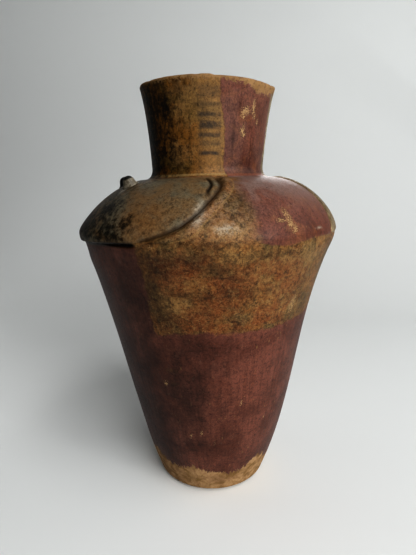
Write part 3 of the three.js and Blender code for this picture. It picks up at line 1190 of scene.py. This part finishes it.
@dataclass(frozen=True)
class PaintedClay:
    """The outside: slips, resist paint, stains and wear on burnished clay, and painted highlights and
    shade.
    """

    clay: str = "b0906a"
    clay_dark: str = "80633d"
    tan: str = "80582f"
    tan_dark: str = "2f1e0d"
    tan_olive: str = "5f4c2e"
    tan_light: str = "9c7f52"
    brown: str = "43260f"
    rust: str = "743c1c"
    # Whitish film and painted highlight.
    bloom: str = "b2a998"
    neck: str = "7d5524"
    neck_olive: str = "6a522a"
    neck_dark: str = "2a1b0a"
    ladder_ground: str = "98784e"
    bar: str = "2c2826"
    lobe: str = "735e43"
    lobe_grey: str = "6a6250"
    cream: str = "6f6048"
    cream_light: str = "96866a"
    red: str = "764a3c"
    red_dark: str = "502c20"
    red_black: str = "190e0a"
    # Painted sheen over the red.
    red_painted_sheen: str = "7a655d"
    red_orange: str = "8a5234"
    red_brown: str = "7c5034"
    # Painted highlights on the fillet at the neck's foot, over tan and over red.
    fillet_highlight: str = "988058"
    fillet_red_highlight: str = "80503c"
    black: str = "0f0f0c"
    chip: str = "b0936a"
    lip: str = "8d704c"
    dust: str = "8a7460"
    gloss: float = 0.22

    def tan_coat(self, bench: ClayBench) -> Socket:
        """Makes the tan slip of body and shoulder: mottled, stained, crazed and dusty.

        Args:
            bench: the material's bench.

        Returns:
            The colour.
        """
        join = bench.attribute("join")
        crazed = bench.noise(bench.place, 0.16, 5.0, 0.62, None, 1.6)
        return bench.coats(
            bench.tones(bench.cloud(0.05, 0.4, 0.62), self.tan, self.tan_olive),
            (bench.edge("pale", 1.5, 0.16, 0.9), 0.54, self.tan_light),
            (bench.edge("rust", 1.3, 0.13, 0.9), 0.65, self.rust),
            # Darker slip and painted shade on the side turned from the lights.
            (bench.edge("dusky", 0.9, 0.1, 0.9), 0.64, self.brown),
            (bench.grains(0.5, 0.6), bench.step(join, -60.0, -40.0, 0.6, 0.4), self.tan_dark),
            (bench.grains(0.46, 0.38), 0.4, self.tan_light),
            (bench.grains(0.62, 0.44), bench.step(join, -64.0, -42.0, 0.0, 0.42), self.dust),
            (bench.band(crazed, 0.47, 0.007), 0.5, self.tan_light),
            (bench.band(crazed, 0.53, 0.008), 0.6, self.tan_dark),
            (bench.edge("stain", 1.6, 0.3, 0.9), 0.5, self.tan_dark),
        )

    def neck_coat(self, bench: ClayBench, drips: Socket) -> Socket:
        """Makes the olive-brown slip of the neck, with run-down streaks and the bars' paler ground."""
        return bench.coats(
            bench.tones(bench.cloud(0.06, 0.42, 0.62), self.neck, self.neck_olive),
            (bench.step(drips, 0.42, 0.68), 0.75, self.neck_dark),
            (bench.grains(0.5, 0.6), 0.6, self.neck_dark),
            (bench.edge("pale", 1.4, 0.2, 0.9), 0.45, self.ladder_ground),
            (bench.edge("stain", 1.6, 0.3, 0.9), 0.6, self.neck_dark),
            (bench.edge("ground", 1.5, 0.12, 8.0), 0.5, self.ladder_ground),
        )

    def lobe_coat(self, bench: ClayBench) -> Socket:
        """Makes the grey-brown of the head."""
        return bench.coats(
            bench.tones(bench.cloud(0.06, 0.4, 0.62), self.lobe, self.lobe_grey),
            (bench.edge("pale", 1.2, 0.15, 0.9), 0.45, self.tan),
            (bench.grains(0.5, 0.62), 0.5, self.tan_dark),
            (bench.grains(0.45, 0.36), 0.3, self.tan_light),
        )

    def cream_coat(self, bench: ClayBench, drips: Socket) -> Socket:
        """Makes the olive-cream of the raised panel, with dark run-down streaks."""
        return bench.coats(
            bench.tones(bench.cloud(0.05, 0.36, 0.6), self.cream_light, self.cream),
            (bench.cloud(0.09, 0.46, 0.64, 1.0), 0.6, self.tan_olive),
            (bench.step(drips, 0.48, 0.7), 0.55, self.brown),
            (bench.grains(0.48, 0.6), 0.55, self.tan_dark),
        )

    def red_coat(self, bench: ClayBench, streak: Socket) -> Socket:
        """Makes the burnished dark red slip of the lower body."""
        flecks = bench.times(bench.dots(0.5, 0.34, 0.3, bench.upright), bench.cloud(0.05, 0.46, 0.56))
        return bench.coats(
            bench.tones(bench.cloud(0.035, 0.32, 0.76), self.red, self.red_dark),
            (bench.edge("pale", 0.9, 0.5, 0.6), 0.5, self.tan_olive),
            (bench.step(streak, 0.42, 0.7), 0.45, self.red_dark),
            (bench.grains(0.51, 0.64), 0.55, self.red_black),
            (bench.grains(0.44, 0.34), 0.35, self.red_orange),
            (flecks, 0.42, self.tan_light),
            # Darker slip and painted shade on the side turned from the lights.
            (bench.edge("dusky", 0.8, 0.08, 0.95), 0.72, self.red_black),
        )

    def upper_red_coat(self, bench: ClayBench, red: Socket, drips: Socket, on_neck: Socket) -> Socket:
        """Makes the red of shoulder and neck, with a painted grey-pink sheen high on the shoulder.

        Args:
            bench: the material's bench.
            red: the red of the lower body.
            drips: the noise of what ran down.
            on_neck: the neck's mask.

        Returns:
            The colour.
        """
        join = bench.attribute("join")
        # Painted sheen: a grey-pink reflection over the red, strongest high on the shoulder, weak on the
        # neck.
        high = bench.times(bench.step(join, -48.0, -16.0, 0.1, 0.95), bench.mix(on_neck, 1.0, 0.22))
        painted_sheen = bench.times(bench.cloud(0.06, 0.28, 0.54), high)
        return bench.coats(
            red,
            (bench.cloud(0.09, 0.46, 0.66, 1.0), 0.6, self.red_brown),
            (painted_sheen, 1.0, self.red_painted_sheen),
            (bench.step(drips, 0.5, 0.68), bench.mix(on_neck, 0.12, 0.5), self.red_black),
            (bench.grains(0.52, 0.64), 0.45, self.red_dark),
            # Painted highlight on the red of the fillet.
            (bench.band(join, 4.2, 1.1), 0.5, self.fillet_red_highlight),
        )

    def bare_clay(self, bench: ClayBench, lip: Socket) -> Socket:
        """Makes the clay that shows where foot and lip are worn, darker on the lip."""
        return bench.coats(
            bench.tones(bench.cloud(0.12, 0.35, 0.65), self.clay, self.clay_dark),
            (bench.grains(0.5, 0.62), 0.5, self.clay_dark),
            # Darker slip and painted shade, as on the body.
            (bench.edge("dusky", 1.2, 0.3, 0.9), 0.35, self.red_dark),
            (lip, 0.7, self.lip),
        )

    def bars(self, bench: ClayBench, height: Socket, plan: PaintPlan) -> Socket:
        """Makes the mask of the bars on the neck, each worn by its own tone.

        Args:
            bench: the material's bench.
            height: the height on the jar.
            plan: the paint's layout.

        Returns:
            The mask.
        """
        ramp = bench.node("ShaderNodeValToRGB", {0: bench.math("DIVIDE", height, plan.bars_span)})
        stops = ramp.color_ramp.elements
        for stop in stops:
            stop.color = (0, 0, 0, 1)
        for bar in plan.bars:
            outer = bar.half + plan.bar_blur
            inner = bar.half - plan.bar_sharp
            for reach, tone in ((-outer, 0.0), (-inner, bar.tone), (inner, bar.tone), (outer, 0.0)):
                stops.new((bar.height + reach) / plan.bars_span).color = (tone, tone, tone, 1)
        worn = bench.step(bench.noise(bench.place, 0.2, 6.0, 0.7), 0.3, 0.56, 0.25, 1.0)
        return bench.times(bench.times(ramp.outputs[0], worn), bench.edge("ladder", 1.2, 0.25, 1.4))

    def lines(self, bench: ClayBench) -> tuple[tuple[Any, Any, str], ...]:
        """Lists the painted highlight by the ridge and the painted shade in the crease and carved lines."""
        ink = bench.math("MULTIPLY_ADD", bench.fine, 0.6, bench.attribute("ink"))
        return (
            # Painted highlight line beside the ridge.
            (bench.edge("rim", 0.35, 0.4, 0.5), 0.35, self.tan_light),
            # Painted shade in the crease where the shoulder meets the neck's fillet.
            (bench.band(bench.attribute("join"), -0.4, 0.45), 0.6, self.tan_dark),
            # Painted shade in the carved lines and the mouth's slit: brown, then black where deepest.
            (bench.step(ink, 0.36, 0.8), 0.6, self.tan_dark),
            (bench.step(ink, 0.7, 1.2), 0.9, self.black),
        )

    def build(self, effects: Effects, plan: PaintPlan) -> bpy.types.Material:
        """Builds the material.

        Args:
            effects: the shared node groups.
            plan: the paint's layout, for the bars of the neck.

        Returns:
            The material.
        """
        material, bench, shader = blank_material("painted_clay", effects)
        wrap = bench.attribute("wrap", "Vector")
        height = bench.node("ShaderNodeSeparateXYZ", {0: wrap}).outputs[2]
        streak = bench.use(effects.strokes, Wrap=wrap, Scale=0.5)
        drips = bench.noise(wrap, 0.12, 6.0, 0.7, (1.0, 1.0, 0.3))
        join = bench.attribute("join")
        on_neck = bench.step(join, 2.0, 5.0)

        colour = bench.blend(on_neck, self.tan_coat(bench), self.neck_coat(bench, drips))
        # Painted highlight on the fillet at the neck's foot, where it catches the light.
        colour = bench.coats(colour, (bench.band(join, 5.0, 0.8), 0.6, self.fillet_highlight))
        colour = bench.blend(bench.edge("lobe", 0.5, 0.3, 0.9), colour, self.lobe_coat(bench))
        colour = bench.coats(colour, (bench.edge("soot", 1.5, 0.3, 0.9), 0.92, self.black))
        colour = bench.blend(bench.edge("cream", 0.8, 0.25, 0.7), colour, self.cream_coat(bench, drips))

        red = self.red_coat(bench, streak)
        lower = bench.edge("lower_red", 2.2, 0.2, 1.4)
        upper = bench.times(bench.edge("upper_red", 0.9, 0.3, 0.7), bench.edge("fade", 2.6, 0.18, 4.5))
        colour = bench.blend(lower, colour, red)
        colour = bench.blend(upper, colour, self.upper_red_coat(bench, red, drips, on_neck))

        off_neck = bench.math("SUBTRACT", 1.0, on_neck)
        # Pale film and painted highlights off the neck, broken by the grain.
        bloom_and_highlight_mask = bench.times(bench.edge("bloom", 0.6, 0.35, 0.9), off_neck)
        colour = bench.coats(
            colour,
            (self.bars(bench, height, plan), on_neck, self.bar),
            (bloom_and_highlight_mask, bench.step(bench.grain, 0.6, 0.44, 0.12, 0.64), self.bloom),
            *self.lines(bench),
            (bench.dots(0.5, 0.34, 0.3), 0.6, self.tan_dark),
        )
        shade = bench.step(bench.fine, 0.28, 0.72, 0.66, 1.3)
        grey = bench.node("ShaderNodeCombineColor", {0: shade, 1: shade, 2: shade}).outputs[0]
        colour = bench.blend(1.0, colour, grey, "MULTIPLY")

        foot = bench.edge("foot_wear", 4.2, 0.45, 1.2, bench.upright)
        rubbed = bench.step(bench.grain, 0.6, 0.5, 0.45, 1.0)
        lip = bench.times(bench.edge("lip_wear", 3.4, 0.42, 0.8), rubbed)
        near_chip = bench.attribute("chip")
        flaked = bench.edge(bench.math("SUBTRACT", near_chip, 0.2), 2.6, 1.4, 0.3)
        chip = bench.times(flaked, bench.step(near_chip, -0.95, -0.3))
        bare = bench.math("MAXIMUM", foot, lip)
        worn = bench.math("MAXIMUM", bare, chip)
        colour = bench.blend(bare, colour, self.bare_clay(bench, lip))
        colour = bench.coats(colour, (chip, 0.8, self.chip))

        rough = bench.mix(bench.math("MAXIMUM", lower, upper), 0.3, 0.06)
        burnish = bench.step(bench.fine, 0.3, 0.7, 0.4, 0.58)
        shader.inputs["Specular IOR Level"].default_value = self.gloss
        relief = bench.math("MULTIPLY_ADD", streak, 0.12, bench.grit(0.05, 0.08))
        relief = bench.math("MULTIPLY_ADD", bench.grain, bench.times(rough, -1.0), relief)
        relief = bench.math("MULTIPLY_ADD", worn, -0.12, relief)
        bench.finish(shader, colour, bench.mix(worn, burnish, 0.85), relief)
        return material


@dataclass(frozen=True)
class EyeClay:
    """An eye: pale on its outer face, with a black painted rim."""

    face: str = "7f7767"
    shade: str = "4f4638"
    black: str = "0d0d0b"

    def build(self, effects: Effects) -> bpy.types.Material:
        """Builds the material.

        Args:
            effects: the shared node groups.

        Returns:
            The material.
        """
        material, bench, shader = blank_material("eye_clay", effects)
        colour = bench.coats(
            bench.tones(bench.grains(0.42, 0.6), self.face, self.shade),
            (bench.edge("paint", 0.25, 0.6, 0.3), 0.95, self.black),
        )
        roughness = bench.step(bench.fine, 0.3, 0.7, 0.4, 0.6)
        bench.finish(shader, colour, roughness, bench.grit(0.08, 0.1))
        return material


@dataclass(frozen=True)
class BareClay:
    """The inside: unslipped clay, wiped by hand."""

    colour: str = "9a7448"
    dark: str = "6b4c2c"

    def build(self, effects: Effects) -> bpy.types.Material:
        """Builds the material.

        Args:
            effects: the shared node groups.

        Returns:
            The material.
        """
        material, bench, shader = blank_material("bare_clay", effects)
        wiped = bench.noise(bench.place, 0.2, 5.0, 0.6, (0.4, 0.4, 2.0))
        colour = bench.coats(
            bench.tones(bench.step(wiped, 0.35, 0.65), self.colour, self.dark),
            (bench.dots(0.4, 0.3, 0.3), 0.5, self.dark),
        )
        roughness = bench.step(bench.fine, 0.3, 0.7, 0.8, 0.9)
        height = bench.math("MULTIPLY_ADD", wiped, 0.5, bench.grit(0.12, 0.2))
        bench.finish(shader, colour, roughness, height)
        return material


def placed(name: str, data: Any) -> bpy.types.Object:
    """Makes an object of a mesh, a light or a camera, and puts it in the scene.

    Args:
        name: its name.
        data: the mesh, light or camera.

    Returns:
        The object.
    """
    thing = bpy.data.objects.new(name, data)
    bpy.context.scene.collection.objects.link(thing)
    return thing


def smooth_mesh(
    name: str, points: np.ndarray, faces: Sequence[np.ndarray], values: dict[str, np.ndarray],
    materials: Sequence[bpy.types.Material],
) -> bpy.types.Mesh:
    """Makes a smoothly shaded mesh.

    Args:
        name: its name.
        points: its vertices as rows, in metres.
        faces: its faces, in groups that have the same number of corners.
        values: the numbers that its vertices carry, by name.
        materials: its materials in the order of their slots.

    Returns:
        The mesh.
    """
    mesh = bpy.data.meshes.new(name)
    mesh.from_pydata(points.tolist(), [], [face for group in faces for face in group.tolist()])
    for label, numbers in values.items():
        carried = mesh.attributes.new(label, "FLOAT", "POINT")
        carried.data.foreach_set("value", numbers.astype(np.float32))
    mesh.polygons.foreach_set("use_smooth", np.ones(len(mesh.polygons), bool))
    for material in materials:
        mesh.materials.append(material)
    mesh.update()
    return mesh


def dressed(mesh: bpy.types.Mesh) -> bpy.types.Object:
    """Makes a mesh a piece of the jar's body, in place of the frame's jar.

    Args:
        mesh: the piece's mesh, which has the piece's name.

    Returns:
        The piece.
    """
    piece = placed(mesh.name, mesh)
    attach(piece, "root")
    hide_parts("jar")
    return piece


@dataclass(frozen=True)
class Eye:
    """A small pinched knob on the head, standing square to the shoulder."""

    flank: Flank
    turn: float = 16.0
    share: float = 0.8
    share_step: float = 0.01
    width: float = 8.6
    length: float = 7.6
    height: float = 5.9
    depth: float = 4.0
    bulge: float = 2.8
    fullness: float = 0.45
    flare: float = 1.6
    flare_reach: float = 1.3
    root_height: float = 1.5
    root_least: float = 0.05
    rim_start: float = 1.2
    rim_depth: float = 1.7
    columns: int = 48
    rows: int = 40

    def seat(self, form: JarForm) -> tuple[np.ndarray, np.ndarray]:
        """Finds the knob's foot on the shoulder.

        Args:
            form: the jar's shape.

        Returns:
            The foot, and the directions across, along the slope and out as rows.
        """
        curve = form.profile(0.0)["shoulder"]
        step = self.share_step
        points = bezier(curve, np.array([self.share - step, self.share, self.share + step]))
        zero = np.zeros(3)
        rows = Rows(points[:, 0], points[:, 1], self.share + zero, zero, zero)
        slope = (points[2] - points[0]) / np.hypot(*(points[2] - points[0]))
        angle = math.radians(form.head_azimuth + self.flank.value * self.turn)
        around = np.array([math.cos(angle), math.sin(angle), 0.0])
        away = np.array([math.sin(angle), -math.cos(angle), 0.0])
        up = np.array([0.0, 0.0, 1.0])
        lift = points[1, 1] - form.tilt(rows)[1] * math.cos(math.radians(self.turn))
        foot = away * points[1, 0] + up * lift - np.array([form.lean, 0.0, 0.0])
        climb = away * slope[0] + up * slope[1]
        out = away * slope[1] - up * slope[0]
        return foot, np.stack([around * self.flank.value, climb, out])

    def build(self, form: JarForm, effects: Effects) -> bpy.types.Object:
        """Builds the piece.

        With v from 0 under the clay to 1 at the top and u around, a point stands at
        reach(v) * (width cos u, length sin u) / 2 and the height -depth + (height + depth) v,
        where reach is (1 - (height / top)^bulge)^fullness plus a flare that dies away over
        the clay.

        Args:
            form: the jar's shape.
            effects: the shared node groups.

        Returns:
            The piece.
        """
        foot, axes = self.seat(form)
        share = (1 - np.cos(np.pi * (np.arange(self.rows) + 0.5) / self.rows)) / 2
        level = self.height * share - self.depth * (1 - share)
        above = np.maximum(level, 0.0)
        dome = np.maximum(1 - (above / self.height) ** self.bulge, 0.0) ** self.fullness
        flare = self.flare * np.exp(-above / self.flare_reach) * np.minimum(dome * 2, 1.0)
        under = np.clip((level + self.depth) / self.root_height, self.root_least, 1.0)
        angle = 2 * np.pi * np.arange(self.columns) / self.columns
        across = ((dome * self.width / 2 + flare) * under)[:, None] * np.cos(angle)
        along = ((dome * self.length / 2 + flare) * under)[:, None] * np.sin(angle)
        out = np.broadcast_to(level[:, None], across.shape)
        poles = np.array([[0.0, 0.0, -self.depth], [0.0, 0.0, self.height]])
        local = np.vstack([np.stack([across, along, out], -1).reshape(-1, 3), poles])
        rim = np.maximum(-local[:, 0] - self.rim_start, local[:, 2] - self.height + self.rim_depth)
        name = f"{self.flank.name.lower()}_eye"
        faces = ring_faces(self.rows, self.columns, self.flank is Flank.FAR)
        points = (foot + local @ axes) * MM
        return dressed(smooth_mesh(name, points, faces, {"paint": rim}, [EyeClay().build(effects)]))


@dataclass(frozen=True)
class Vessel:
    """The jar's clay body as one closed mesh, painted and worn."""

    form: JarForm = field(default_factory=JarForm)
    plan: PaintPlan = field(default_factory=PaintPlan)
    wrap_radius: float = 60.0

    def build(self, effects: Effects) -> bpy.types.Object:
        """Builds and dresses the piece.

        Its vertices carry their place on an upright cylinder too, so that what ran down or was
        rubbed up the wall can follow it.

        Args:
            effects: the shared node groups.

        Returns:
            The piece.
        """
        surface = self.form.surface()
        rows, columns = surface.turn.shape
        poles = [[0.0, 0.0, 0.0], [0.0, 0.0, self.form.floor]]
        points = np.vstack([surface.points.reshape(-1, 3), poles]) * MM
        values = {
            name: np.concatenate([layer.ravel(), layer[0, :1], layer[-1, :1]])
            for name, layer in self.plan.layers(self.form, surface).items()
        }
        materials = [PaintedClay().build(effects, self.plan), BareClay().build(effects)]
        mesh = smooth_mesh("jar_clay", points, ring_faces(rows, columns), values, materials)
        angle = np.radians(surface.azimuth)
        around = (self.wrap_radius * np.sin(angle), -self.wrap_radius * np.cos(angle))
        wrap = np.stack([*around, surface.height], -1).reshape(-1, 3)
        wrap = np.vstack([wrap, np.zeros((2, 3))]).astype(np.float32)
        mesh.attributes.new("wrap", "FLOAT_VECTOR", "POINT").data.foreach_set("vector", wrap.ravel())
        inside = np.repeat(surface.rows.side[:-1], columns)
        slots = np.concatenate([inside, np.zeros(columns), np.ones(columns)]).astype(np.int32)
        mesh.polygons.foreach_set("material_index", slots)
        return dressed(mesh)


@dataclass(frozen=True)
class Sweep:
    """A pale floor that curves up into a backdrop, in metres."""

    front: float = -1.0
    bend: float = 0.35
    radius: float = 0.6
    top: float = 1.6
    half_width: float = 1.1
    bend_steps: int = 25
    colour: str = "e3e5e4"
    roughness: float = 0.9

    def build(self) -> bpy.types.Object:
        """Builds the sweep: a flat floor, a quarter circle and an upright wall, carried along X.

        Returns:
            The sweep.
        """
        turn = np.linspace(0, np.pi / 2, self.bend_steps)
        wall = [self.bend + self.radius]
        depth = np.concatenate([[self.front], self.bend + self.radius * np.sin(turn), wall])
        height = np.concatenate([[0.0], self.radius * (1 - np.cos(turn)), [self.top]])
        count = len(depth)
        sides = np.repeat([-self.half_width, self.half_width], count)
        points = np.stack([sides, np.tile(depth, 2), np.tile(height, 2)], -1)
        first = np.arange(count - 1)
        faces = np.stack([first, first + count, first + count + 1, first + 1], -1)
        material = bpy.data.materials.new("paper")
        material.use_nodes = True
        shader = material.node_tree.nodes["Principled BSDF"]
        shader.inputs["Base Color"].default_value = linear(self.colour)
        shader.inputs["Roughness"].default_value = self.roughness
        piece = placed("sweep", smooth_mesh("sweep", points, [faces], {}, [material]))
        return piece


@dataclass(frozen=True)
class SoftLight:
    """A square soft light, in metres and watts."""

    name: str
    place: tuple[float, float, float]
    aim: tuple[float, float, float]
    size: float
    power: float
    lit: Lit = Lit.ALL

    def build(self) -> None:
        """Builds the light, turned towards its aim."""
        data = bpy.data.lights.new(self.name, "AREA")
        data.size = self.size
        data.energy = self.power
        light = placed(self.name, data)
        light.location = self.place
        towards = Vector(self.aim) - Vector(self.place)
        light.rotation_euler = towards.to_track_quat("-Z", "Y").to_euler()
        light.visible_camera = False
        if self.lit is not Lit.ALL:
            light.light_linking.receiver_collection = bpy.data.collections[self.lit.value]


@dataclass(frozen=True)
class Studio:
    """The camera, the lights and the sweep around the jar."""

    eye: tuple[float, float, float] = (-0.00294, -0.300, 0.2132)
    pitch: float = 12.245
    focal_pixels: float = 417.0
    air: str = "c4c7c8"
    air_light: float = 0.02
    lights: tuple[SoftLight, ...] = (
        SoftLight("window_left", (0.46, -1.12, 0.7), JAR_MIDDLE, 0.5, 7.4),
        SoftLight("window_right", (0.85, -0.9, 0.72), JAR_MIDDLE, 0.5, 6.6),
        SoftLight("side", (0.95, 0.0, 0.75), JAR_MIDDLE, 0.5, 1.2),
        SoftLight("ceiling", (0.35, -0.45, 1.2), JAR_MIDDLE, 0.33, 2.8),
        SoftLight("backdrop", (0.9, 0.3, 0.8), (0.7, 0.95, 0.25), 0.4, 0.6),
        SoftLight("floor_left", (-0.5, 0.15, 0.42), (-0.1, 0.02, 0.0), 0.4, 0.42, Lit.ROOM),
        SoftLight("rear", (0.1, 0.85, 0.42), (0.0, 0.0, 0.15), 0.5, 3.4, Lit.JAR),
    )

    def build(self, pieces: Sequence[bpy.types.Object]) -> None:
        """Builds the studio and makes its camera the scene's.

        Args:
            pieces: the jar's pieces, so that a light can be kept to them.
        """
        scene = bpy.context.scene
        scene.camera = self.camera()
        scene.world = self.room()
        scene.view_settings.view_transform = "Standard"
        scene.view_settings.look = "High Contrast"
        for lit, members in ((Lit.JAR, pieces), (Lit.ROOM, [Sweep().build()])):
            group = bpy.data.collections.new(lit.value)
            for member in members:
                group.objects.link(member)
        for light in self.lights:
            light.build()
        log.info("studio: %d lights", len(self.lights))

    def camera(self) -> bpy.types.Object:
        """Makes the camera, whose focal length is known in the photograph's pixels.

        Returns:
            The camera.
        """
        data = bpy.data.cameras.new("photo_camera")
        data.sensor_width = SENSOR
        data.sensor_fit = "AUTO"
        data.lens = self.focal_pixels * SENSOR / max(IMAGE_WIDTH, IMAGE_HEIGHT)
        camera = placed("photo_camera", data)
        camera.location = self.eye
        camera.rotation_euler = (math.radians(90.0 - self.pitch), 0.0, 0.0)
        return camera

    def room(self) -> bpy.types.World:
        """Makes the air around the sweep: pale to look at, but nearly no light of its own.

        Returns:
            The world.
        """
        world = bpy.data.worlds.new("room")
        world.use_nodes = True
        bench = Bench(world.node_tree)
        seen = bench.node("ShaderNodeLightPath").outputs["Is Camera Ray"]
        background = world.node_tree.nodes["Background"]
        background.inputs["Color"].default_value = linear(self.air)
        strength = bench.mix(seen, self.air_light, 1.0)
        world.node_tree.links.new(strength, background.inputs["Strength"])
        return world


def main() -> None:
    """Builds the jar and the studio."""
    logging.basicConfig(level=logging.INFO, format="%(name)s: %(message)s")
    effects = Effects()
    vessel = Vessel()
    pieces = [vessel.build(effects)]
    pieces += [Eye(flank).build(vessel.form, effects) for flank in Flank]
    for piece in pieces:
        log.info("%s: %d faces", piece.name, len(piece.data.polygons))
    Studio().build(pieces)
    bpy.context.view_layer.update()


if __name__ == "__main__":
    main()
